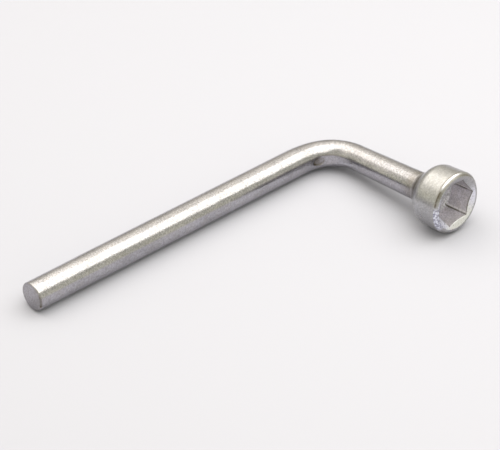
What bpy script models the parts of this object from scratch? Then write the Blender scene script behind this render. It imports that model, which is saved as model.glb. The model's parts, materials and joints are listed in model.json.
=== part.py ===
"""Radiator bleed key: a bent round bar with a hexagon socket head brazed on its short arm.

Metres, +Z up. The key lies on the plane z = 0 as it would on a bench: the long arm lies along X
and the head's rear shoulder touches down, so the short arm rises a little from the corner.
The origin is the middle of the key's box, at its bottom.
"""
import math

import bmesh
import bpy
from mathutils import Matrix, Vector

# Bar
BAR_DIAMETER = 0.0090
LONG_ARM = 0.1175  # from the free end to the corner where the two arms' axes cross
SHORT_ARM = 0.0533  # from that corner to the socket's front face
END_ROUNDING = 0.0004  # edge radius at the free end
END_TAPER = 0.00013  # radius that the bar loses towards its free end
END_TAPER_LENGTH = 0.025

# Bend
BEND_RADIUS = 0.0117  # on the centreline, where the bend is tightest
BEND_EASE_IN = 0.0127  # length over which the curve tightens, on the long arm's side
BEND_EASE_OUT = 0.0020  # length over which it straightens, on the short arm's side
BEND_THINNING = 0.0002  # radius that the bar loses at the middle of the bend
WAIST_THINNING = 0.0004  # radius that it loses where the short arm begins
PRESS_DEPTH = 0.00033  # depth of the flat that the former presses into the bend's inner side
PRESS_PLACE = 0.625  # share of the bend's length at which the former bears hardest

# Socket head
HEX_ACROSS_FLATS = 0.0130
HEX_DEPTH = 0.0082
HEX_TURN = math.radians(8.0)  # from the plane of the two arms to the nearest corner
SOCKET_WALL = 0.00225  # from the hexagon's corners to the outside
MOUTH_RIM = 0.00075  # how far the mouth's countersink reaches past the hexagon's corners
MOUTH_SLOPE = math.radians(27.0)  # countersink, from the front face
DRILL_SHY = 0.0001  # how far the drilled hole's wall stays inside the hexagon's flats
DRILL_PAST_HEX = 0.0003  # straight length of the drilled hole below the hexagon
DRILL_SLOPE = math.radians(8.0)  # conical floor, from a flat one
FLOOR_WEB = 0.0010  # metal between the drill's point and the spigot's bore
FRONT_CHAMFER = 0.00095  # outer front edge, across the radius
FRONT_CHAMFER_LENGTH = 0.0010  # and along the axis
SIDE_TAPER = 0.0002  # radius that the side loses from front to back
SHOULDER_SLOPE = math.radians(47.0)  # conical rear shoulder, from the axis
SHOULDER_RADIUS = 0.0040  # rounding between the shoulder and the side
REAR_FACE_STEP = 0.0009  # from the bar's surface to the edge of the head's flat rear face

# Joint between the bar and the head
SPIGOT_DIAMETER = 0.0070
SPIGOT_LENGTH = 0.0024
JOINT_GAP = 0.0003  # clearance between pieces that touch
FILLET_LENGTH = 0.0024  # braze fillet, along the bar
FILLET_HEIGHT = 0.0008  # and up the head's rear face
FILLET_EDGE = 0.0001  # thickness that the fillet runs out to

# Fineness of the faceted surfaces
BAR_SIDES = 32
HEAD_SIDES = 64
BEND_STEPS = 22
EDGE_STEPS = 3
SHOULDER_STEPS = 7
FILLET_STEPS = 5
OVERCUT = 0.001  # how far a cutter runs out past the face that it enters
KEEP = 1e-5  # smallest step between two rings
SHARP_ANGLE = math.radians(30.0)  # edges steeper than this are shaded sharp

BAR_RADIUS = BAR_DIAMETER / 2
SPIGOT_RADIUS = SPIGOT_DIAMETER / 2
HEX_CORNER = HEX_ACROSS_FLATS / math.sqrt(3)
HEAD_RADIUS = HEX_CORNER + SOCKET_WALL
MOUTH_RADIUS = HEX_CORNER + MOUTH_RIM
DRILL_RADIUS = HEX_ACROSS_FLATS / 2 - DRILL_SHY
DRILL_DEPTH = HEX_DEPTH + DRILL_PAST_HEX
DRILL_POINT = DRILL_DEPTH + DRILL_RADIUS * math.tan(DRILL_SLOPE)
HEAD_LENGTH = DRILL_POINT + FLOOR_WEB + SPIGOT_LENGTH + JOINT_GAP
HEAD_REAR = SHORT_ARM - HEAD_LENGTH


def clear_scene():
    for item in list(bpy.data.objects):
        bpy.data.objects.remove(item, do_unlink=True)


def make_material(name, color, roughness):
    material = bpy.data.materials.new(name)
    material.use_nodes = True
    shader = material.node_tree.nodes["Principled BSDF"]
    shader.inputs["Base Color"].default_value = (*color, 1.0)
    shader.inputs["Metallic"].default_value = 1.0
    shader.inputs["Roughness"].default_value = roughness
    return material


def ease(t):
    """Smooth step from 0 to 1."""
    t = min(max(t, 0.0), 1.0)
    return t * t * (3 - 2 * t)


def bridge_rings(name, rings):
    """A closed body from rings of equal length, with a flat cap on the first and the last."""
    mesh = bpy.data.meshes.new(name)
    shape = bmesh.new()
    loops = [[shape.verts.new(point) for point in ring] for ring in rings]
    count = len(loops[0])
    for near, far in zip(loops, loops[1:]):
        for i in range(count):
            j = (i + 1) % count
            shape.faces.new((near[i], near[j], far[j], far[i]))
    shape.faces.new(list(reversed(loops[0])))
    shape.faces.new(loops[-1])
    bmesh.ops.recalc_face_normals(shape, faces=shape.faces)
    shape.to_mesh(mesh)
    shape.free()
    return mesh


def turn_profile(name, outline, sides, closed=False):
    """Turn an outline of (distance along Z, radius) about Z. Closed outlines make a ring."""
    mesh = bpy.data.meshes.new(name)
    shape = bmesh.new()
    loops = []
    for along, radius in outline:
        loop = []
        for i in range(sides):
            angle = 2 * math.pi * i / sides
            loop.append(shape.verts.new((radius * math.cos(angle), radius * math.sin(angle), along)))
        loops.append(loop)
    pairs = list(zip(loops, loops[1:]))
    if closed:
        pairs.append((loops[-1], loops[0]))
    for near, far in pairs:
        for i in range(sides):
            j = (i + 1) % sides
            shape.faces.new((near[i], near[j], far[j], far[i]))
    if not closed:
        shape.faces.new(list(reversed(loops[0])))
        shape.faces.new(loops[-1])
    bmesh.ops.recalc_face_normals(shape, faces=shape.faces)
    shape.to_mesh(mesh)
    shape.free()
    return mesh


def add_piece(name, mesh, parent, material=None):
    piece = bpy.data.objects.new(name, mesh)
    bpy.context.scene.collection.objects.link(piece)
    piece.parent = parent
    if material is None:
        piece.hide_render = True
        piece.display_type = "WIRE"
    else:
        mesh.materials.append(material)
        mesh.shade_smooth()
        mesh.set_sharp_from_angle(angle=SHARP_ANGLE)
    return piece


def cut(piece, cutter):
    modifier = piece.modifiers.new("cut_" + cutter.name, "BOOLEAN")
    modifier.operation = "DIFFERENCE"
    modifier.solver = "EXACT"
    modifier.object = cutter


def bend_centreline():
    """Points of the bend from the long arm to the short arm, in the plane of the arms.

    Curvature rises evenly over BEND_EASE_IN, holds, and falls evenly over BEND_EASE_OUT, which
    turns the bar by a quarter turn. Returns (share of the bend, point, heading) with the corner
    of the two arms' axes at the origin, the long arm along -X and the short arm along -Y.
    """
    steady = math.pi / 2 * BEND_RADIUS - (BEND_EASE_IN + BEND_EASE_OUT) / 2
    length = BEND_EASE_IN + steady + BEND_EASE_OUT

    def heading(run):
        left = length - run
        if run < BEND_EASE_IN:
            return run**2 / (2 * BEND_RADIUS * BEND_EASE_IN)
        if left < BEND_EASE_OUT:
            return math.pi / 2 - left**2 / (2 * BEND_RADIUS * BEND_EASE_OUT)
        return (run - BEND_EASE_IN / 2) / BEND_RADIUS

    step = length / BEND_STEPS
    point = Vector((0.0, 0.0, 0.0))
    stations = [(0.0, point.copy(), 0.0)]
    for i in range(BEND_STEPS):
        middle = heading((i + 0.5) * step)
        point += step * Vector((math.cos(middle), -math.sin(middle), 0.0))
        stations.append(((i + 1) / BEND_STEPS, point.copy(), heading((i + 1) * step)))
    corner = Vector((point.x, 0.0, 0.0))
    return [(share, place - corner, angle) for share, place, angle in stations]


def bar_radius_in_bend(share):
    """Radius of the drawn bar: thinned at the middle, waisted where the short arm begins."""
    middle = BAR_RADIUS - BEND_THINNING
    waist = BAR_RADIUS - WAIST_THINNING
    if share < 0.5:
        return BAR_RADIUS + (middle - BAR_RADIUS) * ease(2 * share)
    return middle + (waist - middle) * ease(2 * share - 1)


def bar_ring(place, heading, radius):
    """A ring of the bar's section, square to its heading in the plane of the arms."""
    across = Vector((math.sin(heading), math.cos(heading), 0.0))
    up = Vector((0.0, 0.0, 1.0))
    ring = []
    for i in range(BAR_SIDES):
        angle = 2 * math.pi * i / BAR_SIDES
        ring.append(place + radius * (math.cos(angle) * across + math.sin(angle) * up))
    return ring


def make_handle_bar(parent, material):
    bend = bend_centreline()
    rings = []
    for i in range(EDGE_STEPS + 1):
        angle = math.pi / 2 * i / EDGE_STEPS
        inset = END_TAPER + END_ROUNDING * (1 - math.sin(angle))
        place = Vector((-LONG_ARM + END_ROUNDING * (1 - math.cos(angle)), 0.0, 0.0))
        rings.append(bar_ring(place, 0.0, BAR_RADIUS - inset))
    rings.append(bar_ring(Vector((-LONG_ARM + END_TAPER_LENGTH, 0.0, 0.0)), 0.0, BAR_RADIUS))
    for share, place, heading in bend:
        rings.append(bar_ring(place, heading, bar_radius_in_bend(share)))

    # Straight short arm, growing back to the full diameter at the neck, then the spigot
    down = math.pi / 2
    neck = HEAD_REAR - JOINT_GAP
    rings.append(bar_ring(Vector((0.0, -neck, 0.0)), down, BAR_RADIUS))
    rings.append(bar_ring(Vector((0.0, -neck - KEEP, 0.0)), down, SPIGOT_RADIUS))
    rings.append(bar_ring(Vector((0.0, -HEAD_REAR - SPIGOT_LENGTH, 0.0)), down, SPIGOT_RADIUS))
    bar = add_piece("handle_bar", bridge_rings("handle_bar", rings), parent, material)

    # The pressed flat follows the tightest part of the bend's inner side
    share, place, heading = bend[round(BEND_STEPS * PRESS_PLACE)]
    inward = Vector((-math.sin(heading), -math.cos(heading), 0.0))
    centre = place + BEND_RADIUS * inward
    radius = BEND_RADIUS - bar_radius_in_bend(share) + PRESS_DEPTH
    outline = [(-BAR_RADIUS, radius), (BAR_RADIUS, radius)]
    former = add_piece("bend_former", turn_profile("bend_former", outline, HEAD_SIDES), parent)
    former.location = centre
    cut(bar, former)
    return bar


def head_outline():
    """Outside of the head as (distance from the corner, radius), from rear face to front face."""
    side_rear = HEAD_RADIUS - SIDE_TAPER
    face_radius = BAR_RADIUS + REAR_FACE_STEP
    cone_length = (side_rear - face_radius) / math.tan(SHOULDER_SLOPE)
    shoulder_end = HEAD_REAR + cone_length + SHOULDER_RADIUS * math.tan(SHOULDER_SLOPE / 2)
    outline = [(HEAD_REAR, face_radius)]
    for i in range(SHOULDER_STEPS + 1):
        angle = SHOULDER_SLOPE * (1 - i / SHOULDER_STEPS)
        along = shoulder_end - SHOULDER_RADIUS * math.sin(angle)
        outline.append((along, side_rear - SHOULDER_RADIUS * (1 - math.cos(angle))))
    outline.append((SHORT_ARM - FRONT_CHAMFER_LENGTH, HEAD_RADIUS))
    outline.append((SHORT_ARM, HEAD_RADIUS - FRONT_CHAMFER))
    return outline


def make_socket_head(parent, material):
    """The head is modelled along its own +Z, which points from the corner out of the mouth."""
    turned = turn_profile("socket_head", head_outline(), HEAD_SIDES)
    head = add_piece("socket_head", turned, parent, material)
    hexagon = [(SHORT_ARM - HEX_DEPTH, HEX_CORNER), (SHORT_ARM + OVERCUT, HEX_CORNER)]
    drill = [
        (SHORT_ARM - DRILL_POINT, KEEP),
        (SHORT_ARM - DRILL_DEPTH, DRILL_RADIUS),
        (SHORT_ARM + OVERCUT, DRILL_RADIUS),
    ]
    mouth_depth = MOUTH_RADIUS * math.tan(MOUTH_SLOPE)
    mouth_reach = MOUTH_RADIUS + OVERCUT / math.tan(MOUTH_SLOPE)
    mouth = [(SHORT_ARM - mouth_depth, KEEP), (SHORT_ARM + OVERCUT, mouth_reach)]
    bore = [
        (HEAD_REAR - OVERCUT, SPIGOT_RADIUS + JOINT_GAP),
        (HEAD_REAR + SPIGOT_LENGTH + JOINT_GAP, SPIGOT_RADIUS + JOINT_GAP),
    ]
    cutters = (("hexagon", hexagon, 6), ("drill", drill, HEAD_SIDES), ("mouth", mouth, HEAD_SIDES),
               ("spigot_bore", bore, HEAD_SIDES))
    for name, outline, sides in cutters:
        cutter = add_piece(name, turn_profile(name, outline, sides), parent)
        stand_along_short_arm(cutter)
        cut(head, cutter)
    bpy.data.objects["hexagon"].data.transform(Matrix.Rotation(HEX_TURN, 4, "Z"))
    stand_along_short_arm(head)
    return head


def make_neck_braze(parent, material):
    """Concave ring of braze in the corner between the bar and the head's rear face."""
    inner = BAR_RADIUS + JOINT_GAP
    seat = HEAD_REAR - JOINT_GAP
    outline = [(seat, inner)]
    for i in range(FILLET_STEPS + 1):
        angle = math.pi / 2 * i / FILLET_STEPS
        along = seat - FILLET_LENGTH * (1 - math.cos(angle))
        radius = inner + FILLET_EDGE + (FILLET_HEIGHT - JOINT_GAP) * (1 - math.sin(angle))
        outline.append((along, radius))
    outline.append((seat - FILLET_LENGTH, inner))
    ring = turn_profile("neck_braze", outline, HEAD_SIDES, closed=True)
    piece = add_piece("neck_braze", ring, parent, material)
    stand_along_short_arm(piece)
    return piece


def stand_along_short_arm(piece):
    piece.rotation_euler = (math.pi / 2, 0.0, 0.0)


def resting_tilt(outline):
    """Angle by which the short arm rises when bar and head both touch the bench."""
    tilts = []
    for along, radius in outline:
        reach = math.hypot(along, radius)
        tilts.append(math.atan2(radius, along) - math.asin(BAR_RADIUS / reach))
    return max(tilts)


def make_key_frame():
    """Empty at the corner of the two arms' axes, tilted as the key lies."""
    outline = head_outline()
    tilt = resting_tilt(outline)
    reach = max(along * math.cos(tilt) + radius * math.sin(tilt) for along, radius in outline)
    frame = bpy.data.objects.new("key_frame", None)
    bpy.context.scene.collection.objects.link(frame)
    frame.location = ((LONG_ARM - HEAD_RADIUS) / 2, (reach - BAR_RADIUS) / 2, BAR_RADIUS)
    frame.rotation_euler = (-tilt, 0.0, 0.0)
    return frame


def main():
    clear_scene()
    frame = make_key_frame()
    make_handle_bar(frame, make_material("bar_plating", (0.60, 0.59, 0.55), 0.34))
    make_socket_head(frame, make_material("head_plating", (0.62, 0.61, 0.57), 0.30))
    make_neck_braze(frame, make_material("braze_plating", (0.55, 0.54, 0.51), 0.40))


main()
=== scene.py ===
"""Looks of the radiator bleed key: fine meshes, plated steel, studio light and camera. Metres, +Z up."""
import json
import math

import bpy
import numpy as np
from mathutils import Matrix, Vector, noise


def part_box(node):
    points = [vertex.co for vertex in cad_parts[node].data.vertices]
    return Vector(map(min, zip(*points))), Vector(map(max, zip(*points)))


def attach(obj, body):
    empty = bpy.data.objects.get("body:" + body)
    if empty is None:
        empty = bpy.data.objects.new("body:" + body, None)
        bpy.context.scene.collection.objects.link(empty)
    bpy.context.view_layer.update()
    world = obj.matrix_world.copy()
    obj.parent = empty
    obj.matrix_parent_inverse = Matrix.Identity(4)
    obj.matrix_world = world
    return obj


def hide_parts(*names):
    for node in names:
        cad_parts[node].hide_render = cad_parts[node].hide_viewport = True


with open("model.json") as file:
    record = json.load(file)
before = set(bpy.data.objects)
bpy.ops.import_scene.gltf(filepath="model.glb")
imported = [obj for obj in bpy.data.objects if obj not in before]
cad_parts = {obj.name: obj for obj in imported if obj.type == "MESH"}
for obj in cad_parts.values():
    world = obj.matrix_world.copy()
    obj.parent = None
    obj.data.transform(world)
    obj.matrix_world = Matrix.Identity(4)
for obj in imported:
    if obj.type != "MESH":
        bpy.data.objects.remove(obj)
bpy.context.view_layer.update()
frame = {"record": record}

# Sizes that the frame gives
MOUNTS = {mount["name"]: mount for mount in frame["record"]["mounts"]}
BAR_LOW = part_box("handle_bar")[0]
HEAD_LOW, HEAD_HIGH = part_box("socket_head")
HEAD_AXIS = Vector(MOUNTS["socket_mouth"]["axis"])
BAR_END = Vector(MOUNTS["bar_end"]["pos_m"])
CORNER = Vector(((HEAD_LOW.x + HEAD_HIGH.x) / 2, BAR_END.y, BAR_END.z))
TILT = math.atan2(HEAD_AXIS.z, -HEAD_AXIS.y)
BAR_RADIUS = CORNER.z
LONG_ARM = CORNER.x - BAR_LOW.x
SHORT_ARM = (Vector(MOUNTS["socket_mouth"]["pos_m"]) - CORNER).dot(HEAD_AXIS)
HEAD_RADIUS = (HEAD_HIGH.x - HEAD_LOW.x) / 2

# From the arms' own frame (long arm along -X, short arm along -Y, corner at the origin)
KEY = Matrix.Translation(CORNER) @ Matrix.Rotation(-TILT, 4, "X")

# Sizes of the bar, as built
END_ROUNDING = 0.0004
END_TAPER = 0.00013
END_TAPER_LENGTH = 0.025
BEND_RADIUS = 0.0117
BEND_EASE_IN = 0.0127
BEND_EASE_OUT = 0.0020
BEND_THINNING = 0.0002
WAIST_THINNING = 0.0004
PRESS_DEPTH = 0.00033
PRESS_PLACE = 0.625  # share of the bend's length
PRESS_PAST_BEND = 0.004
BEND_LENGTH = math.pi / 2 * BEND_RADIUS + (BEND_EASE_IN + BEND_EASE_OUT) / 2

# Sizes of the head, as built
HEAD_LENGTH = 0.0131
HEX_ACROSS_FLATS = 0.0130
HEX_DEPTH = 0.0082
HEX_TURN = math.radians(8.0)
MOUTH_RADIUS = 0.008256
MOUTH_SLOPE = math.radians(27.0)
DRILL_RADIUS = 0.0064
DRILL_PAST_HEX = 0.0003
DRILL_SLOPE = math.radians(8.0)
DRILL_TIP = 0.02 * DRILL_RADIUS
FRONT_CHAMFER = 0.00095
FRONT_CHAMFER_LENGTH = 0.0010
SIDE_TAPER = 0.0002
SHOULDER_SLOPE = math.radians(47.0)
SHOULDER_RADIUS = 0.0040
REAR_FACE_STEP = 0.0009
REAR_FACE_HOLE = 0.9 * BAR_RADIUS  # its edge lies inside the bar
HEAD_REAR = SHORT_ARM - HEAD_LENGTH

# Sizes of the braze, beside those that it takes from the bar and the head
BRAZE_OVERLAP = 0.00012  # past the head's rear face, along the axis
BRAZE_SINK = 0.00003  # below the bar's skin where it starts
BRAZE_LIFT = 0.00002  # above the shoulder where it ends

# Fineness of the surfaces
BAR_SIDES = 160
HEAD_SIDES = 480
BRAZE_SIDES = 240
BAR_STEP = 0.00030
HEAD_STEP = 0.00035
BEND_STEPS = 120
END_STEPS = 8
SHOULDER_STEPS = 20
ROUND_STEPS = 7
ROUND_LIMIT = 0.4  # share of an outline's side that one rounded corner may take
BRAZE_STEPS = 18
END_FACE_RINGS = (0.25, 0.5, 0.75, 0.9, 0.97)  # shares of the end face's radius

# Small shapes that the CAD model leaves out. Angles around the bar and the head start at the
# outside of the bend and turn towards +Z.
HEX_CORNER_FILLET = 0.00045  # in the hexagon's six corners
HEX_EDGE_BREAK = 0.00007  # worn edge around the hexagon's mouth
EDGE_ROUNDS = (0.0010, 0.0004, 0.00025)  # on the chamfer's outer and inner edge and at the mouth
WAVE_HEIGHT = 0.000007  # unevenness left by drawing and plating
BRAZE_WAVE_HEIGHT = 0.00007
ROUGH_DEPTH = 0.00004  # of the rough patch on the head's front
DENT_START = 0.0070  # along the bar, from the start of the bend
DENT_LENGTH = 0.0058
DENT_ANGLE = math.radians(181.0)
DENT_HALF_ANGLE = math.radians(19.0)
DENT_DEPTH = 0.00026
DENT_RUN_OUT = 1.05  # share of its length at which the depth has fallen to nothing
DENT_SOFTNESS = 0.3
DENT_LIP = 0.16 * DENT_DEPTH
DENT_LIP_LINE = (1.12, 0.16)  # place and width, where the dent's outline is 1
DENT_EDGE_LINE = (0.8, 0.25)
NICK_ANGLE = math.radians(203.0)
NICK_HALF_ANGLE = math.radians(5.0)
NICK_LENGTH = 0.0005
NICK_DEPTH = 0.00022
NICK_FROM, NICK_SOFTNESS = 0.86, 0.08  # shares of the bar's radius: it leaves the end face's middle

# Shares of the bar's radius from which a point counts as on the end's edge and on the side
END_EDGE_FROM = 0.8
SIDE_FROM = 0.9

# Sizes of the waves in each surface, coarse then fine, and of the rough patch's grain
BAR_WAVES = (0.0022, 0.0009)
HEAD_WAVES = (0.0024, 0.0008)
BRAZE_WAVES = 0.0016
ROUGH_GRAIN = 0.0006
NOISE_SHIFT = (7.3, 3.1, 5.7)  # sets the waves of one surface apart from another's

# How dark the bar's stains and painted shade are, where 1 is the full colour of stains
# painted shade inside the thumbnail dent and along its edge
DENT_DARK = 0.6
DENT_EDGE_DARK = 1.1
# painted shade in the nick on the end's rim
NICK_DARK = 0.9
END_FACE_DARK = 0.14
END_EDGE_DARK = 0.12
# heat tint and painted shade on the bar's last stretch before the neck, dimming its highlight there
NECK_DARK = 0.6
NECK_TINT_AND_SHADE_LENGTH = 0.0070
# painted shadow along the flat's upper edge, and painted highlight along its edge towards the end of the
# bend
FLAT_RIM_DARK = 0.55
FLAT_RIM_HIGHLIGHT = 0.5
FLAT_RIM_WIDTH = 0.00010

# Marks along arcs: strength, first and last angle in degrees, and how softly they end
# darker along the end's rounded rim, most on the side towards the inside of the bend
END_EDGE_DARKENING = (0.40, 152, 207, 12.0)
ROUGH_CHAMFER = (1.0, 168, 220, 12.0)
ROUGH_COUNTERSINK = (0.65, 150, 235, 12.0)
ROUGH_RING = (0.5, 138, 168, 12.0)
# arc where the countersink's painted highlight is left out; it stays on the lower right, which faces up to
# the lights
COUNTERSINK_HIGHLIGHT_GAP = (1.0, 18, 215, 30.0)
# painted highlight: a bright crescent along the chamfer's outer edge, strongest at the top
CHAMFER_HIGHLIGHT_TOP = (0.9, 78, 126, 16.0)
CHAMFER_HIGHLIGHT_LEFT = (0.2, 126, 200, 12.0)
# painted reflection: a dark brown crescent near the chamfer's outer edge, standing in for a dark
# surrounding reflected there
BROWN_CHAMFER_EDGE = (1.2, 134, 166, 12.0)
# painted reflection: a brownish tint over the upper front ring and the chamfer's inner part, standing in
# for the warm room reflected there
INNER_FRONT_REFLECTION_TINT = (1.0, 20, 150, 30.0)
# painted shade on the chamfer along the bottom, from lower left round to the right
LOWER_CHAMFER_SHADE = (0.35, 228, 350, 30.0)
# painted shade: a dark line where the side meets the chamfer, strongest along the top
SIDE_EDGE_SHADE = (0.6, 72, 132, 20.0)
# arc where the painted shade below the hexagon's mouth is left out
PALE_HEX_MOUTH = (0.85, 158, 300, 20.0)
# painted shade on the socket's upper right wall under the rim, with punch streaks through it
UPPER_WALL_SHADE_AND_STREAKS = (1.0, 12, 62, 6.0)

# Strengths of the head's other marks
# painted highlight on the countersink
COUNTERSINK_HIGHLIGHT = 0.8
# painted light on the floor of the deep socket
FLOOR_PAINTED_LIGHT = 0.8
FLOOR_PITS = 0.6
# painted shade in the crease at the head's rear, beside the braze
REAR_CREASE_DARK = 0.65
# painted shade at the hexagon's corners and below its mouth
HEX_LINES_DARK = 0.7
HEX_CORNER_DARK = 1.3
HEX_MOUTH_DARK = 0.9
# painted shade and punch streaks on the socket's upper right wall
WALL_SHADE_AND_STREAK_DARK = 0.5
PUNCH_STREAKS = 85  # streaks that would fit around the whole hexagon
# painted reflection tint on the front ring and on the chamfer's inner part
RING_DARK = 0.12
INNER_CHAMFER_DARK = 0.5
# painted shade line all round where the side meets the chamfer
SIDE_EDGE_DARK = 0.08
# steady painted shade on that wall, and the swing of the punch streaks
WALL_SHADE_MEAN, PUNCH_SWING = 0.55, 0.45

# Where the marks of one surface of the head give way to the next: depths below the mouth, and widths
CHAMFER_REACH = 1.05 * FRONT_CHAMFER_LENGTH
FRONT_REACH = 0.003  # holds every front surface
FLOOR_FROM = HEX_DEPTH - 0.0001
FRONT_EDGE = 0.0001
COUNTERSINK_EDGE = 0.00008
INNER_CHAMFER_FROM, INNER_CHAMFER_EDGE = 0.00035, 0.0002  # inwards from the side

# Soft lines on the head, as place and width
CHAMFER_HIGHLIGHT_LINE = (0.00026, 0.00018)  # inwards from the side; line of the chamfer's painted highlight
# line of the chamfer's painted dark reflection
BROWN_EDGE = (0.00030, 0.00020)
SIDE_EDGE = (0.0002, 0.00020)  # from the chamfer towards the rear; line of painted shade
REAR_CREASE = (0.0003, 0.0009)  # from the rear face; painted shade in the crease there
# painted highlight beside each corner of the hexagon, on the side towards the light, and painted shade at
# the corner and below the mouth
HEX_LIGHT_LINE = (3.6, 2.0)  # in degrees above each of the hexagon's corners
HEX_DARK_LINE = (-0.2, 1.8)
HEX_MOUTH_LINE = (0.0001, 0.00025)  # below the hexagon's mouth

# Marks on the braze: strength, then place and width from the bar (0) to the head (1)
# painted shade in the crease where the braze meets the head's shoulder, mottled by the braze's waves
BRAZE_DARK = 0.85
BRAZE_DARK_LINE = (0.85, 0.55)
BRAZE_MOTTLE = 0.2
BRAZE_PITS = 0.3
BRAZE_PITS_LINE = (0.6, 0.4)

# Colours and roughness of the metal
BAR_COLOR, BAR_ROUGHNESS = (0.388, 0.378, 0.404), 0.19
HEAD_COLOR, HEAD_ROUGHNESS = (0.394, 0.391, 0.404), 0.29
# painted light: the socket's metal is the head's plating, made nearly twice as light to stand in for light
# reaching into the deep socket
SOCKET_PAINTED_LIGHT_COLOR, SOCKET_ROUGHNESS = (0.73, 0.705, 0.755), 0.62
BRAZE_COLOR, BRAZE_ROUGHNESS = (0.350, 0.335, 0.345), 0.36
PAINTED_HIGHLIGHT_COLOR = (0.84, 0.835, 0.92)  # painted highlight: light metal laid where the lights would shine
# painted highlight inside the socket, on its floor and beside its corners
SOCKET_PAINTED_HIGHLIGHT_COLOR = (1.0, 0.99, 1.0)
# colour of stains and of painted shade, both laid through the stain_and_shade mark
STAIN_AND_SHADE_COLOR = (0.115, 0.095, 0.065)
PIT_COLOR = (0.16, 0.15, 0.14)
FROST_DARK, FROST_LIGHT = (0.28, 0.28, 0.36), (0.82, 0.83, 0.92)
GRAIN_HEIGHT = 0.00003
SOCKET_GRAIN_HEIGHT = 0.00004
SOCKET_STREAKS = (2600.0, 120.0, 2600.0)  # scale along each axis: long along the socket

# Noise in the plating: scale, detail and roughness
GRAIN_NOISE = (2200.0, 3.0, 0.6)
SPECK_NOISE = (1900.0, 3.0, 0.7)
CLOUD_NOISE = (140.0, 3.0, 0.6)
DRIFT_NOISE = (420.0, 4.0, 0.6)
PIT_NOISE = (2300.0, 2.0, 0.6)
FROST_NOISE = (1500.0, 2.0, 0.6)
STREAK_NOISE = (1.0, 3.0, 0.6)

# Range of each noise that is stretched from 0 to 1, and the share that its layer covers
CLOUD_RANGE = (0.3, 0.7)
WARM_RANGE, WARM_SHARE = (0.4, 0.7), 0.45
PIT_RANGE, PIT_SHARE = (0.60, 0.74), 0.35
SPECK_RANGE, SPECK_SHARE = (0.50, 0.66), 0.45
GLINT_RANGE, GLINT_SHARE = (0.50, 0.34), 0.40
STREAK_RANGE, STREAK_SHARE = (0.45, 0.7), 0.25
FROST_RANGE = (0.40, 0.60)
STAIN_AND_SHADE_RANGE = (0.15, 0.55)

# Tints of the metal's colour, and how each layer adds to its roughness and relief
DEEP, PALE, SPECK_TINT, GLINT_TINT = 0.86, 1.10, 0.55, 1.5
WARM_TINT = (1.04, 1.01, 0.94)
CLOUD_ROUGHNESS, PIT_ROUGHNESS, STAIN_AND_SHADE_ROUGHNESS = 0.10, 0.12, 0.2
SPECK_RELIEF, PIT_RELIEF, FROST_RELIEF = 0.25, 0.25, 0.8

# Studio
FLOOR_SIZE = 6.0
FLOOR_COLOR, FLOOR_ROUGHNESS = (0.49, 0.492, 0.565), 0.9
PANEL_HEIGHT = 0.5
PANELS = (  # name, span along X, span along Y, radiance, colour
    ("key_panel", (-0.16, 0.62), (-0.44, 0.14), 2.30, (1.0, 0.985, 0.90)),
    ("back_panel", (-0.30, 0.24), (0.14, 0.62), 1.60, (1.0, 0.97, 0.88)),
    ("back_right_panel", (0.24, 0.54), (0.14, 0.62), 0.45, (1.0, 0.975, 0.84)),
    ("back_left_panel", (-0.58, -0.30), (0.14, 0.62), 0.40, (1.0, 0.975, 0.84)),
)

# Room light: its colour each way, and the range over which the front, the left and the top fade in
ROOM_FRONT = (-0.35, 0.25)
ROOM_LEFT = (0.2, 0.8)
ROOM_RISE = (0.0, 0.65)
ROOM_LOW_BACK = (0.56, 0.535, 0.46)
ROOM_LOW_NEAR = (0.975, 0.96, 0.765)
ROOM_HIGH_BACK = (1.25, 1.19, 1.03)
ROOM_HIGH_FRONT = (0.81, 0.795, 0.665)

# Camera in the arms' frame: place, turn (axis times angle) and lens in millimetres
CAMERA_PLACE = Vector((-0.3533, -0.3622, 0.2813))
CAMERA_TURN = Vector((1.986, -0.811, 0.393))
CAMERA_LENS = 132.26
CAMERA_SENSOR = 36.0
CAMERA_REACH = 10.0


def smooth(t):
    """Rise from 0 to 1 with level ends."""
    t = np.clip(t, 0.0, 1.0)
    return t * t * (3 - 2 * t)


def line(position, place, width):
    """A soft line: 1 at its place, falling off over its width."""
    return np.exp(-(((position - place) / width) ** 2))


def arc(angle, strength, start, end, soft):
    """The strength between two angles in degrees, falling off over soft degrees at both ends."""
    degrees = np.degrees(angle) % 360
    return strength * smooth((degrees - start) / soft + 0.5) * smooth((end - degrees) / soft + 0.5)


def unevenness(points, size, seed):
    """Smooth noise of about -1 to 1 at each point, with features of the given size."""
    shift = Vector([seed * part for part in NOISE_SHIFT])
    flat = points.reshape(-1, 3) / size
    values = [noise.noise(Vector(point) + shift) for point in flat.tolist()]
    return np.array(values).reshape(points.shape[:-1])


def two_waves(points, sizes, seed):
    """Coarse unevenness with half as much fine unevenness on it."""
    coarse, fine = sizes
    return unevenness(points, coarse, seed) + 0.5 * unevenness(points, fine, seed + 1)


def full_circle(sides):
    return np.linspace(0, 2 * math.pi, sides, endpoint=False)


def ring_points(along, across, angle):
    """Points around the short arm's axis, at the given distances from the corner and the axis."""
    return np.stack([across * np.cos(angle), -along, across * np.sin(angle)], axis=-1)


def widen(grid, scale):
    """Scale a grid's distance from the short arm's axis."""
    grid[:, :, 0] *= scale
    grid[:, :, 2] *= scale


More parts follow.
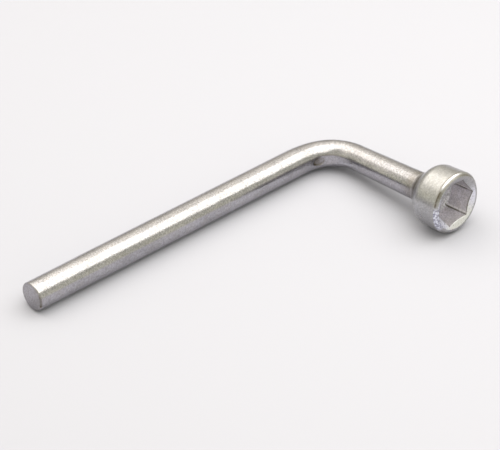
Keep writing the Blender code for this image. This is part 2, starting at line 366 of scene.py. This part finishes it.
def add_grid(name, rings, materials, marks, inner_from=None, close_first=True, close_last=True):
    """A surface from rings of equal length, given in the arms' frame, with a fan in each closed end.

    Marks are values for each point, kept as attributes that the materials read. Faces past the
    ring inner_from take the second material.
    """
    count, sides, _ = rings.shape
    points = rings.reshape(-1, 3)
    values = {key: np.broadcast_to(value, (count, sides)).reshape(-1) for key, value in marks.items()}
    side = np.arange(sides)[None, :]
    after = (side + 1) % sides
    start = np.arange(count - 1)[:, None] * sides
    quads = np.stack([start + side, start + after, start + sides + after, start + sides + side], axis=-1)
    faces = [tuple(quad) for quad in quads.reshape(-1, 4).tolist()]
    for closed, ring in ((close_first, 0), (close_last, count - 1)):
        if not closed:
            continue
        tip = len(points)
        first = ring * sides
        points = np.vstack([points, rings[ring].mean(axis=0)])
        for key, value in values.items():
            values[key] = np.append(value, value[first : first + sides].mean())
        for i in range(sides):
            edge = (first + i, first + (i + 1) % sides)
            faces.append((tip, *edge) if ring else (tip, *reversed(edge)))
    place = np.array(KEY)
    points = points @ place[:3, :3].T + place[:3, 3]
    mesh = bpy.data.meshes.new(name)
    mesh.from_pydata(points.tolist(), [], faces)
    mesh.shade_smooth()
    for key, value in values.items():
        mesh.attributes.new(key, "FLOAT", "POINT").data.foreach_set("value", value)
    for material in materials:
        mesh.materials.append(material)
    if inner_from is not None:
        index = (np.arange(len(faces)) >= inner_from * sides).astype(np.int32)
        mesh.polygons.foreach_set("material_index", index)
    piece = bpy.data.objects.new(name, mesh)
    bpy.context.scene.collection.objects.link(piece)
    return piece


def bend_heading(run):
    """Heading along the bend: curvature rises evenly, holds, and falls evenly to a quarter turn."""
    left = BEND_LENGTH - run
    rising = run**2 / (2 * BEND_RADIUS * BEND_EASE_IN)
    steady = (run - BEND_EASE_IN / 2) / BEND_RADIUS
    falling = math.pi / 2 - left**2 / (2 * BEND_RADIUS * BEND_EASE_OUT)
    return np.where(run < BEND_EASE_IN, rising, np.where(left < BEND_EASE_OUT, falling, steady))


def bar_stations():
    """Centre, heading, radius and run of the bar from the free end to the neck.

    The run is measured along the bar from the start of the bend.
    """
    run = np.linspace(0.0, BEND_LENGTH, BEND_STEPS + 1)
    middle = bend_heading((run[1:] + run[:-1]) / 2)
    moves = np.stack([np.cos(middle), -np.sin(middle)], axis=-1) * BEND_LENGTH / BEND_STEPS
    bend = np.vstack([[0.0, 0.0], np.cumsum(moves, axis=0)])
    bend[:, 0] -= bend[-1, 0]
    share = run / BEND_LENGTH
    waist = BEND_THINNING * smooth(2 * share)
    waist += (WAIST_THINNING - BEND_THINNING) * smooth(2 * share - 1)

    turn = np.linspace(0.0, math.pi / 2, END_STEPS)
    edge_x = -LONG_ARM + END_ROUNDING * (1 - np.cos(turn))
    edge_r = BAR_RADIUS - END_TAPER - END_ROUNDING * (1 - np.sin(turn))
    face_r = np.array(END_FACE_RINGS) * edge_r[0]
    straight_x = np.arange(edge_x[-1] + BAR_STEP / 2, bend[0, 0] - BAR_STEP / 2, BAR_STEP)
    straight_r = BAR_RADIUS - END_TAPER * np.clip(1 - (straight_x + LONG_ARM) / END_TAPER_LENGTH, 0.0, 1.0)
    arm_x = np.concatenate([np.full(len(face_r), -LONG_ARM), edge_x, straight_x])

    short_y = -np.arange(-bend[-1, 1] + BAR_STEP, HEAD_REAR, BAR_STEP)
    grown = (short_y - bend[-1, 1]) / (-HEAD_REAR - bend[-1, 1])
    short_r = BAR_RADIUS - WAIST_THINNING * (1 - grown)

    x = np.concatenate([arm_x, bend[:, 0], np.zeros_like(short_y)])
    y = np.concatenate([np.zeros_like(arm_x), bend[:, 1], short_y])
    heading = np.concatenate([np.zeros_like(arm_x), bend_heading(run), np.full(len(short_y), math.pi / 2)])
    radius = np.concatenate([face_r, edge_r, straight_r, BAR_RADIUS - waist, short_r])
    runs = np.concatenate([arm_x - bend[0, 0], run, BEND_LENGTH + bend[-1, 1] - short_y])
    return np.stack([x, y], axis=-1), heading, radius, runs


def bar_rings(centres, heading, size, angle):
    """Points around the bar, each at its size from the centre line."""
    outward = np.stack([np.sin(heading), np.cos(heading)], axis=-1)
    across = size * np.cos(angle)[None, :]
    rings = np.zeros((len(centres), BAR_SIDES, 3))
    rings[:, :, 0] = centres[:, None, 0] + across * outward[:, None, 0]
    rings[:, :, 1] = centres[:, None, 1] + across * outward[:, None, 1]
    rings[:, :, 2] = size * np.sin(angle)[None, :]
    return rings


def former_centre(centres, runs):
    """Centre of the round former against which the bar was bent."""
    at = int(np.abs(runs - PRESS_PLACE * BEND_LENGTH).argmin())
    heading = float(bend_heading(runs[at]))
    return centres[at] - BEND_RADIUS * np.array([math.sin(heading), math.cos(heading)])


def thumbnail_dent(runs, angle):
    """Relief of the dent at the start of the pressed flat, and the painted shade in it.

    The outline reads 0 at the dent's middle and 1 at its edge. The dent is deepest near its start.
    """
    ahead = (runs[:, None] - DENT_START) / DENT_LENGTH
    around = (angle[None, :] - DENT_ANGLE) / DENT_HALF_ANGLE
    outline = (2 * ahead - 1) ** 2 + around**2
    inside = smooth((1 - outline) / DENT_SOFTNESS)
    relief = -DENT_DEPTH * inside * np.clip(DENT_RUN_OUT - ahead, 0.0, 1.0)
    lip = DENT_LIP * line(outline, *DENT_LIP_LINE) * smooth(around + ahead)
    edge = line(outline, *DENT_EDGE_LINE) * smooth(1.2 - 1.5 * ahead) * smooth(1.2 - around)
    return relief + lip, DENT_EDGE_DARK * edge + DENT_DARK * inside


def press_flat(rings, centres, runs):
    """Press the bend's inner side outwards, where it comes closer to the former's centre than its reach.

    Returns the rim, which is 1 along the edge of the flat that this leaves.
    """
    former = former_centre(centres, runs)
    reach = BEND_RADIUS - BAR_RADIUS + BEND_THINNING + PRESS_DEPTH
    offset = rings[:, :, :2] - former
    distance = np.linalg.norm(offset, axis=-1)
    in_bend = ((runs > 0) & (runs < BEND_LENGTH + PRESS_PAST_BEND))[:, None]
    pushed = np.where(in_bend & (distance < reach), reach / distance, 1.0)
    rings[:, :, :2] = former + offset * pushed[:, :, None]
    return line(distance, reach, FLAT_RIM_WIDTH) * in_bend


def make_bar(material):
    """The bar's skin, with the pressed flat, its dent and the nick on the end's rim."""
    centres, heading, radius, runs = bar_stations()
    angle = full_circle(BAR_SIDES)
    share = radius[:, None] / BAR_RADIUS
    round_edge = (runs[:, None] < runs[0] + END_ROUNDING) & (share > END_EDGE_FROM)
    on_side = (share > SIDE_FROM) & ~round_edge

    size = np.repeat(radius[:, None], BAR_SIDES, axis=1)
    waves = two_waves(bar_rings(centres, heading, size, angle), BAR_WAVES, 1)
    nick = line(angle, NICK_ANGLE, NICK_HALF_ANGLE)[None, :] * line(runs, runs[0], NICK_LENGTH)[:, None]
    nick *= smooth((share - NICK_FROM) / NICK_SOFTNESS)
    size += on_side * WAVE_HEIGHT * (waves - 1)
    size -= NICK_DEPTH * nick
    rings = bar_rings(centres, heading, size, angle)
    rim = press_flat(rings, centres, runs)
    dent, dent_dark = thumbnail_dent(runs, angle)
    rings += dent[:, :, None] * (
        bar_rings(centres, heading, 1.0, angle) - bar_rings(centres, heading, 0.0, angle)
    )

    # painted shade in the dent and in the nick
    stain_and_shade = dent_dark + NICK_DARK * nick
    # darker along the end's rounded rim and on its face
    stain_and_shade += round_edge * (END_EDGE_DARK + arc(angle, *END_EDGE_DARKENING))
    stain_and_shade += END_FACE_DARK * (runs[:, None] < runs[0] + END_ROUNDING / 10)
    # heat tint and painted shade towards the neck
    stain_and_shade += NECK_DARK * smooth((runs[:, None] - runs[-1]) / NECK_TINT_AND_SHADE_LENGTH + 1)
    # painted shadow along the flat's upper edge
    stain_and_shade += FLAT_RIM_DARK * rim * (np.sin(angle) > 0)
    # painted highlight along the flat's edge towards the end of the bend
    painted_highlight = FLAT_RIM_HIGHLIGHT * rim * smooth(runs[:, None] / BEND_LENGTH * 3 - 2)
    marks = {"painted_highlight": painted_highlight, "stain_and_shade": np.clip(stain_and_shade, 0.0, 1.0), "pits": 0.0}
    return add_grid("bar_surface", rings, [material], marks, close_last=False)


def hexagon_radius(angle):
    """Distance from the axis to the hexagon's wall, with slightly rounded corners."""
    apart = math.pi / 3
    from_flat = (angle - HEX_TURN) % apart - apart / 2
    wall = HEX_ACROSS_FLATS / 2 / np.cos(from_flat)
    from_corner = apart / 2 - np.abs(from_flat)
    centre = (HEX_ACROSS_FLATS / 2 - HEX_CORNER_FILLET) / math.cos(apart / 2)
    bow = HEX_CORNER_FILLET**2 - (centre * np.sin(from_corner)) ** 2
    rounded = centre * np.cos(from_corner) + np.sqrt(np.clip(bow, 0.0, None))
    return np.where((bow > 0) & (rounded < wall), rounded, wall)


def hexagon_rim(angle):
    """Place along the axis where the countersink meets the hexagon's wall."""
    return SHORT_ARM - (MOUTH_RADIUS - hexagon_radius(angle)) * math.tan(MOUTH_SLOPE)


def round_corners(outline, radii):
    """Replace each inner corner of an outline by an arc of about its radius."""
    points = [Vector(point) for point in outline]
    rounded = [points[0]]
    for before, corner, after, radius in zip(points, points[1:], points[2:], radii):
        back, ahead = before - corner, after - corner
        turn = math.pi - back.angle(ahead)
        cut = min(radius * math.tan(turn / 2), ROUND_LIMIT * back.length, ROUND_LIMIT * ahead.length)
        start = corner + back.normalized() * cut
        end = corner + ahead.normalized() * cut
        for t in np.linspace(0.0, 1.0, ROUND_STEPS):
            rounded.append((1 - t) ** 2 * start + 2 * t * (1 - t) * corner + t**2 * end)
    rounded.append(points[-1])
    return rounded


def head_profile():
    """Outside of the head from the rear face to the mouth, as (along, radius)."""
    face = BAR_RADIUS + REAR_FACE_STEP
    side = HEAD_RADIUS - SIDE_TAPER
    cone = (side - face) / math.tan(SHOULDER_SLOPE)
    end = HEAD_REAR + cone + SHOULDER_RADIUS * math.tan(SHOULDER_SLOPE / 2)
    profile = [(HEAD_REAR, REAR_FACE_HOLE), (HEAD_REAR, face)]
    for turn in np.linspace(SHOULDER_SLOPE, 0.0, SHOULDER_STEPS):
        drop = SHOULDER_RADIUS * (1 - math.cos(turn))
        profile.append((end - SHOULDER_RADIUS * math.sin(turn), side - drop))
    front = [
        profile[-1],
        (SHORT_ARM - FRONT_CHAMFER_LENGTH, HEAD_RADIUS),
        (SHORT_ARM, HEAD_RADIUS - FRONT_CHAMFER),
        (SHORT_ARM, MOUTH_RADIUS),
        (SHORT_ARM - (MOUTH_RADIUS - DRILL_RADIUS) * math.tan(MOUTH_SLOPE), DRILL_RADIUS),
    ]
    rounded = [tuple(point) for point in round_corners(front, EDGE_ROUNDS)]
    return profile[:-1] + rounded[:-1]


def head_rows(angle):
    """Edges of the head's surfaces, each as its place along the axis and its radius at each angle.

    Rows from inner_from on belong to the socket.
    """
    flat = np.ones(HEAD_SIDES)
    rows = [(s * flat, r * flat) for s, r in head_profile()]
    hexagon = hexagon_radius(angle)
    rim = hexagon_rim(angle)
    floor = SHORT_ARM - HEX_DEPTH
    rows.append((rim + HEX_EDGE_BREAK * math.tan(MOUTH_SLOPE), hexagon + HEX_EDGE_BREAK))
    inner_from = len(rows)
    rows.append((rim - HEX_EDGE_BREAK, hexagon))
    rows.append((floor * flat, hexagon))
    rows.append((floor * flat, DRILL_RADIUS * flat))
    rows.append(((floor - DRILL_PAST_HEX) * flat, DRILL_RADIUS * flat))
    point = floor - DRILL_PAST_HEX - DRILL_RADIUS * math.tan(DRILL_SLOPE)
    rows.append((point * flat, DRILL_TIP * flat))
    return rows, inner_from


def head_rings(angle):
    """Rings that fill in between the head's rows, as (along, across), and the socket's first ring."""
    rows, inner_row = head_rows(angle)
    rings = []
    for number, ((s0, r0), (s1, r1)) in enumerate(zip(rows, rows[1:])):
        if number == inner_row:
            inner_from = len(rings)
        span = max(np.abs(s1 - s0).max(), np.abs(r1 - r0).max())
        steps = max(1, round(span / HEAD_STEP))
        spread = np.linspace(0, 1, steps, endpoint=False)
        for t in smooth(spread) if steps > 2 else spread:
            rings.append(np.stack([s0 + (s1 - s0) * t, r0 + (r1 - r0) * t]))
    rings.append(np.stack(rows[-1]))
    rings = np.array(rings)
    return rings[:, 0], rings[:, 1], inner_from


def front_surfaces(outside, depth, across):
    """How far each point belongs to the chamfer, to the mouth's flat ring and to the countersink."""
    chamfer = outside * smooth((CHAMFER_REACH - depth) / FRONT_EDGE)
    chamfer = chamfer * smooth((across - HEAD_RADIUS + FRONT_CHAMFER) / FRONT_EDGE)
    ring = outside * smooth((HEAD_RADIUS - FRONT_CHAMFER - across) / FRONT_EDGE) * (depth < FRONT_EDGE)
    countersink = outside * smooth((MOUTH_RADIUS - across) / COUNTERSINK_EDGE) * (depth < FRONT_REACH)
    return chamfer, ring, countersink


def hexagon_lines(angle, along, wall):
    """Painted highlight and painted shade lines at the hexagon's corners, 60 degrees apart, and painted
    shade along its mouth.
    """
    from_corner = (np.degrees(angle - HEX_TURN) + 30) % 60 - 30
    above_corner = from_corner * np.sign(np.cos(angle))
    light = wall * line(above_corner, *HEX_LIGHT_LINE)
    dark = HEX_CORNER_DARK * wall * line(above_corner, *HEX_DARK_LINE)
    mouth = HEX_MOUTH_DARK * wall * line(hexagon_rim(angle) - along, *HEX_MOUTH_LINE)
    return light, dark + mouth * (1 - arc(angle, *PALE_HEX_MOUTH))


def make_head(outer, inner):
    """The head's skin and its socket, with the rough lower left of its front."""
    angle = full_circle(HEAD_SIDES)
    along, across, inner_from = head_rings(angle)
    grid = ring_points(along, across, angle)
    outside = (np.arange(len(grid)) < inner_from)[:, None]
    depth = SHORT_ARM - along
    chamfer, ring, countersink = front_surfaces(outside, depth, across)

    waves = two_waves(grid, HEAD_WAVES, 3)
    rough = (chamfer + ring) * arc(angle, *ROUGH_CHAMFER) + countersink * arc(angle, *ROUGH_COUNTERSINK)
    rough += ring * arc(angle, *ROUGH_RING)
    scale = 1 + WAVE_HEIGHT * (waves - 1) * outside / HEAD_RADIUS
    scale -= ROUGH_DEPTH * rough * (1 + unevenness(grid, ROUGH_GRAIN, 5)) / HEAD_RADIUS
    widen(grid, scale)

    floor = (depth > FLOOR_FROM) & ~outside
    wall = ~outside & (depth < HEX_DEPTH)
    light_line, dark_line = hexagon_lines(angle, along, wall)

    # painted highlight on the countersink's lower right, and painted light on the socket floor and the
    # hexagon's corner lines
    painted_highlight = COUNTERSINK_HIGHLIGHT * countersink * (1 - arc(angle, *COUNTERSINK_HIGHLIGHT_GAP))
    painted_highlight += FLOOR_PAINTED_LIGHT * floor + light_line
    inwards = HEAD_RADIUS - across
    # painted highlight along the chamfer's outer edge
    chamfer_highlight = chamfer * line(inwards, *CHAMFER_HIGHLIGHT_LINE)
    painted_highlight += chamfer_highlight * (arc(angle, *CHAMFER_HIGHLIGHT_TOP) + arc(angle, *CHAMFER_HIGHLIGHT_LEFT))

    # painted dark reflection near the chamfer's outer edge
    brown_edge = chamfer * line(inwards, *BROWN_EDGE)
    # painted shade in the crease at the head's rear
    rear_crease = outside * line(along - HEAD_REAR, *REAR_CREASE)
    # painted shade under the rim on the upper right wall, with punch streaks
    streaks = wall * arc(angle, *UPPER_WALL_SHADE_AND_STREAKS) * (WALL_SHADE_MEAN + PUNCH_SWING * np.sin(PUNCH_STREAKS * angle))
    inner_chamfer = chamfer * smooth((inwards - INNER_CHAMFER_FROM) / INNER_CHAMFER_EDGE)
    side_edge = outside * line(depth - FRONT_CHAMFER_LENGTH, *SIDE_EDGE)
    stain_and_shade = brown_edge * arc(angle, *BROWN_CHAMFER_EDGE) + REAR_CREASE_DARK * rear_crease
    stain_and_shade += HEX_LINES_DARK * dark_line + WALL_SHADE_AND_STREAK_DARK * streaks
    # painted reflection tint on the upper front ring and inner chamfer
    stain_and_shade += (RING_DARK * ring + INNER_CHAMFER_DARK * inner_chamfer) * arc(angle, *INNER_FRONT_REFLECTION_TINT)
    # painted shade on the chamfer's lower side
    stain_and_shade += chamfer * arc(angle, *LOWER_CHAMFER_SHADE)
    # painted shade line where the side meets the chamfer
    stain_and_shade += side_edge * (SIDE_EDGE_DARK + arc(angle, *SIDE_EDGE_SHADE))

    marks = {"painted_highlight": painted_highlight, "stain_and_shade": stain_and_shade, "pits": rough + FLOOR_PITS * floor}
    marks = {key: np.clip(value, 0.0, 1.0) for key, value in marks.items()}
    return add_grid("head_surface", grid, [outer, inner], marks, inner_from, close_first=False)


def make_braze(material):
    """Fillet that leaves the bar tangentially and meets the head's shoulder at the shoulder's slope."""
    angle = full_circle(BRAZE_SIDES)
    root = BAR_RADIUS - BRAZE_SINK
    height = BAR_RADIUS + REAR_FACE_STEP + BRAZE_OVERLAP * math.tan(SHOULDER_SLOPE) - root + BRAZE_LIFT
    length = 2 * height / math.tan(SHOULDER_SLOPE)
    t = np.linspace(0, 1, BRAZE_STEPS)[:, None]
    along = HEAD_REAR + BRAZE_OVERLAP - length * (1 - t) * np.ones(BRAZE_SIDES)
    grid = ring_points(along, root + height * t**2, angle)
    waves = unevenness(grid, BRAZE_WAVES, 6)
    widen(grid, 1 + BRAZE_WAVE_HEIGHT * waves * 4 * t * (1 - t) / BAR_RADIUS)
    # painted shade in the crease towards the head, mottled by the waves
    stain_and_shade = BRAZE_DARK * line(t, *BRAZE_DARK_LINE) * (1 - BRAZE_MOTTLE + BRAZE_MOTTLE * waves)
    marks = {"painted_highlight": 0.0, "stain_and_shade": stain_and_shade, "pits": BRAZE_PITS * line(t, *BRAZE_PITS_LINE)}
    return add_grid("braze_surface", grid, [material], marks, close_first=False, close_last=False)


def node(tree, kind, inputs=None, **settings):
    """A shader node with its settings, and its inputs as values or as sockets to link from."""
    item = tree.nodes.new(kind)
    for key, value in settings.items():
        setattr(item, key, value)
    for key, value in (inputs or {}).items():
        if isinstance(value, bpy.types.NodeSocket):
            tree.links.new(value, item.inputs[key])
        else:
            item.inputs[key].default_value = value
    return item


def math_node(tree, operation, *values, clamp=False):
    """Result of a math node on two or three values or sockets."""
    item = node(tree, "ShaderNodeMath", dict(enumerate(values)), operation=operation, use_clamp=clamp)
    return item.outputs[0]


def blend_color(tree, factor, first, second):
    """Mix of two colours, each given as a socket or as red, green and blue."""
    sides = [side if isinstance(side, bpy.types.NodeSocket) else (*side, 1) for side in (first, second)]
    item = node(tree, "ShaderNodeMix", {0: factor, 6: sides[0], 7: sides[1]}, data_type="RGBA")
    return item.outputs[2]


def noise_value(tree, vector, scale, detail, rough):
    inputs = {"Vector": vector, "Scale": scale, "Detail": detail, "Roughness": rough}
    return node(tree, "ShaderNodeTexNoise", inputs).outputs["Fac"]


def sharpen(tree, value, low, high):
    """Stretch a value so that low reads 0 and high reads 1."""
    inputs = {"Value": value, "From Min": low, "From Max": high}
    return node(tree, "ShaderNodeMapRange", inputs, interpolation_type="SMOOTHSTEP").outputs[0]


def overlay(tree, tone, mask, share, color):
    """Cover the given share of the tone with a colour, where the mask is 1."""
    return blend_color(tree, math_node(tree, "MULTIPLY", mask, share), tone, color)


def tinted(color, factor):
    """The colour times one factor, or times one for each of red, green and blue."""
    return tuple(np.multiply(color, factor).tolist())


def plated_steel(name, color, roughness, grain_height=GRAIN_HEIGHT, highlight_color=PAINTED_HIGHLIGHT_COLOR, streaks=None):
    """Matt zinc plating: fine grain, cloudy tint, small pits, painted highlights, and dark stains mixed
    with painted shade.

    Streaks is a scale along each axis for marks that run one way, as a punch leaves them.
    """
    material = bpy.data.materials.new(name)
    material.use_nodes = True
    tree = material.node_tree
    shader = tree.nodes["Principled BSDF"]
    shader.inputs["Metallic"].default_value = 1.0
    place = node(tree, "ShaderNodeTexCoord").outputs["Object"]
    grain = noise_value(tree, place, *GRAIN_NOISE)
    speck = noise_value(tree, place, *SPECK_NOISE)
    cloud = noise_value(tree, place, *CLOUD_NOISE)
    drift = noise_value(tree, place, *DRIFT_NOISE)
    pits = sharpen(tree, noise_value(tree, place, *PIT_NOISE), *PIT_RANGE)
    frost = sharpen(tree, noise_value(tree, place, *FROST_NOISE), *FROST_RANGE)
    marks = {}
    for key in ("painted_highlight", "stain_and_shade", "pits"):
        marks[key] = node(tree, "ShaderNodeAttribute", attribute_name=key).outputs["Fac"]
    frosted = math_node(tree, "MULTIPLY", frost, marks["pits"], clamp=True)
    stain_and_shade_amount = math_node(tree, "MULTIPLY", marks["stain_and_shade"], sharpen(tree, drift, *STAIN_AND_SHADE_RANGE), clamp=True)

    deep = tinted(color, DEEP)
    tone = blend_color(tree, sharpen(tree, cloud, *CLOUD_RANGE), deep, tinted(color, PALE))
    tone = overlay(tree, tone, sharpen(tree, drift, *WARM_RANGE), WARM_SHARE, tinted(color, WARM_TINT))
    tone = overlay(tree, tone, pits, PIT_SHARE, PIT_COLOR)
    # painted highlight: lightens the tone where the painted_highlight mark is set
    tone = blend_color(tree, marks["painted_highlight"], tone, highlight_color)
    tone = blend_color(tree, marks["pits"], tone, blend_color(tree, frost, FROST_DARK, FROST_LIGHT))
    specks = sharpen(tree, speck, *SPECK_RANGE)
    glints = sharpen(tree, speck, *GLINT_RANGE)
    tone = overlay(tree, tone, specks, SPECK_SHARE, tinted(color, SPECK_TINT))
    tone = overlay(tree, tone, glints, GLINT_SHARE, tinted(color, GLINT_TINT))
    # stains and painted shade darken the tone here
    tone = blend_color(tree, stain_and_shade_amount, tone, STAIN_AND_SHADE_COLOR)

    rough = math_node(tree, "MULTIPLY_ADD", cloud, CLOUD_ROUGHNESS, roughness - CLOUD_ROUGHNESS / 2)
    rough = math_node(tree, "ADD", rough, math_node(tree, "MULTIPLY", pits, PIT_ROUGHNESS))
    rough = math_node(tree, "ADD", rough, math_node(tree, "MULTIPLY", stain_and_shade_amount, STAIN_AND_SHADE_ROUGHNESS), clamp=True)

    relief = math_node(tree, "ADD", grain, math_node(tree, "MULTIPLY", speck, SPECK_RELIEF))
    relief = math_node(tree, "SUBTRACT", relief, math_node(tree, "MULTIPLY", pits, PIT_RELIEF))
    relief = math_node(tree, "ADD", relief, math_node(tree, "MULTIPLY", frosted, FROST_RELIEF))
    if streaks:
        stretched = node(tree, "ShaderNodeMapping", {"Vector": place, "Scale": streaks}).outputs[0]
        drag = noise_value(tree, stretched, *STREAK_NOISE)
        tone = overlay(tree, tone, sharpen(tree, drag, *STREAK_RANGE), STREAK_SHARE, deep)
        relief = math_node(tree, "ADD", relief, drag)
    bump = node(tree, "ShaderNodeBump", {"Distance": grain_height, "Height": relief})

    tree.links.new(tone, shader.inputs["Base Color"])
    tree.links.new(rough, shader.inputs["Roughness"])
    tree.links.new(bump.outputs["Normal"], shader.inputs["Normal"])
    return material


def make_floor():
    bpy.ops.mesh.primitive_plane_add(size=FLOOR_SIZE, location=(0, 0, 0))
    floor = bpy.context.object
    floor.name = "studio_floor"
    material = bpy.data.materials.new("studio_paper")
    material.use_nodes = True
    shader = material.node_tree.nodes["Principled BSDF"]
    shader.inputs["Base Color"].default_value = (*FLOOR_COLOR, 1.0)
    shader.inputs["Roughness"].default_value = FLOOR_ROUGHNESS
    shader.inputs["Specular IOR Level"].default_value = 0.0
    floor.data.materials.append(material)


def add_panel(name, x_span, y_span, radiance, color):
    """Rectangular light facing down, over the given spans, of the given radiance."""
    light = bpy.data.lights.new(name, "AREA")
    light.shape = "RECTANGLE"
    light.size = x_span[1] - x_span[0]
    light.size_y = y_span[1] - y_span[0]
    light.color = color
    light.energy = radiance * math.pi * light.size * light.size_y
    panel = bpy.data.objects.new(name, light)
    panel.location = (sum(x_span) / 2, sum(y_span) / 2, PANEL_HEIGHT)
    bpy.context.scene.collection.objects.link(panel)


def make_world():
    """Warm room light: low down brighter in front and to the left, high up brighter behind."""
    world = bpy.data.worlds.new("studio")
    bpy.context.scene.world = world
    world.use_nodes = True
    tree = world.node_tree
    direction = node(tree, "ShaderNodeTexCoord").outputs["Generated"]
    parts = node(tree, "ShaderNodeSeparateXYZ", {"Vector": direction}).outputs
    front = sharpen(tree, math_node(tree, "MULTIPLY", parts[1], -1.0), *ROOM_FRONT)
    left = sharpen(tree, math_node(tree, "MULTIPLY", parts[0], -1.0), *ROOM_LEFT)
    rise = sharpen(tree, parts[2], *ROOM_RISE)
    near = math_node(tree, "MAXIMUM", front, left)
    low = blend_color(tree, near, ROOM_LOW_BACK, ROOM_LOW_NEAR)
    high = blend_color(tree, front, ROOM_HIGH_BACK, ROOM_HIGH_FRONT)
    sky = blend_color(tree, rise, low, high)
    tree.links.new(sky, tree.nodes["Background"].inputs["Color"])


def add_camera():
    """Camera at the viewing angle, placed in the arms' frame and turned with the key."""
    view = Matrix.Rotation(CAMERA_TURN.length, 3, CAMERA_TURN.normalized())
    right, down, ahead = view[0], view[1], view[2]
    basis = Matrix((right, -down, -ahead)).transposed().to_4x4()
    data = bpy.data.cameras.new("camera")
    data.sensor_width = CAMERA_SENSOR
    data.lens = CAMERA_LENS
    data.clip_end = CAMERA_REACH
    camera = bpy.data.objects.new("camera", data)
    bpy.context.scene.collection.objects.link(camera)
    camera.matrix_world = KEY @ Matrix.Translation(CAMERA_PLACE) @ basis
    bpy.context.scene.camera = camera


bar = make_bar(plated_steel("bar_steel", BAR_COLOR, BAR_ROUGHNESS))
head_steel = plated_steel("head_steel", HEAD_COLOR, HEAD_ROUGHNESS)
# painted light: the socket takes a lightened copy of the head's plating
socket_steel_painted_light = plated_steel(
    "socket_steel_painted_light", SOCKET_PAINTED_LIGHT_COLOR, SOCKET_ROUGHNESS, SOCKET_GRAIN_HEIGHT, SOCKET_PAINTED_HIGHLIGHT_COLOR, SOCKET_STREAKS
)
head = make_head(head_steel, socket_steel_painted_light)
braze = make_braze(plated_steel("braze_steel", BRAZE_COLOR, BRAZE_ROUGHNESS))
for piece, cad_node, material_slot in (
    (bar, "handle_bar", "bar_plating"),
    (head, "socket_head", "head_plating"),
    (braze, "neck_braze", "braze_plating"),
):
    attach(piece, "root")
    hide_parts(cad_node)
make_floor()
for panel in PANELS:
    add_panel(*panel)
make_world()
add_camera()
bpy.context.scene.view_settings.view_transform = "Standard"
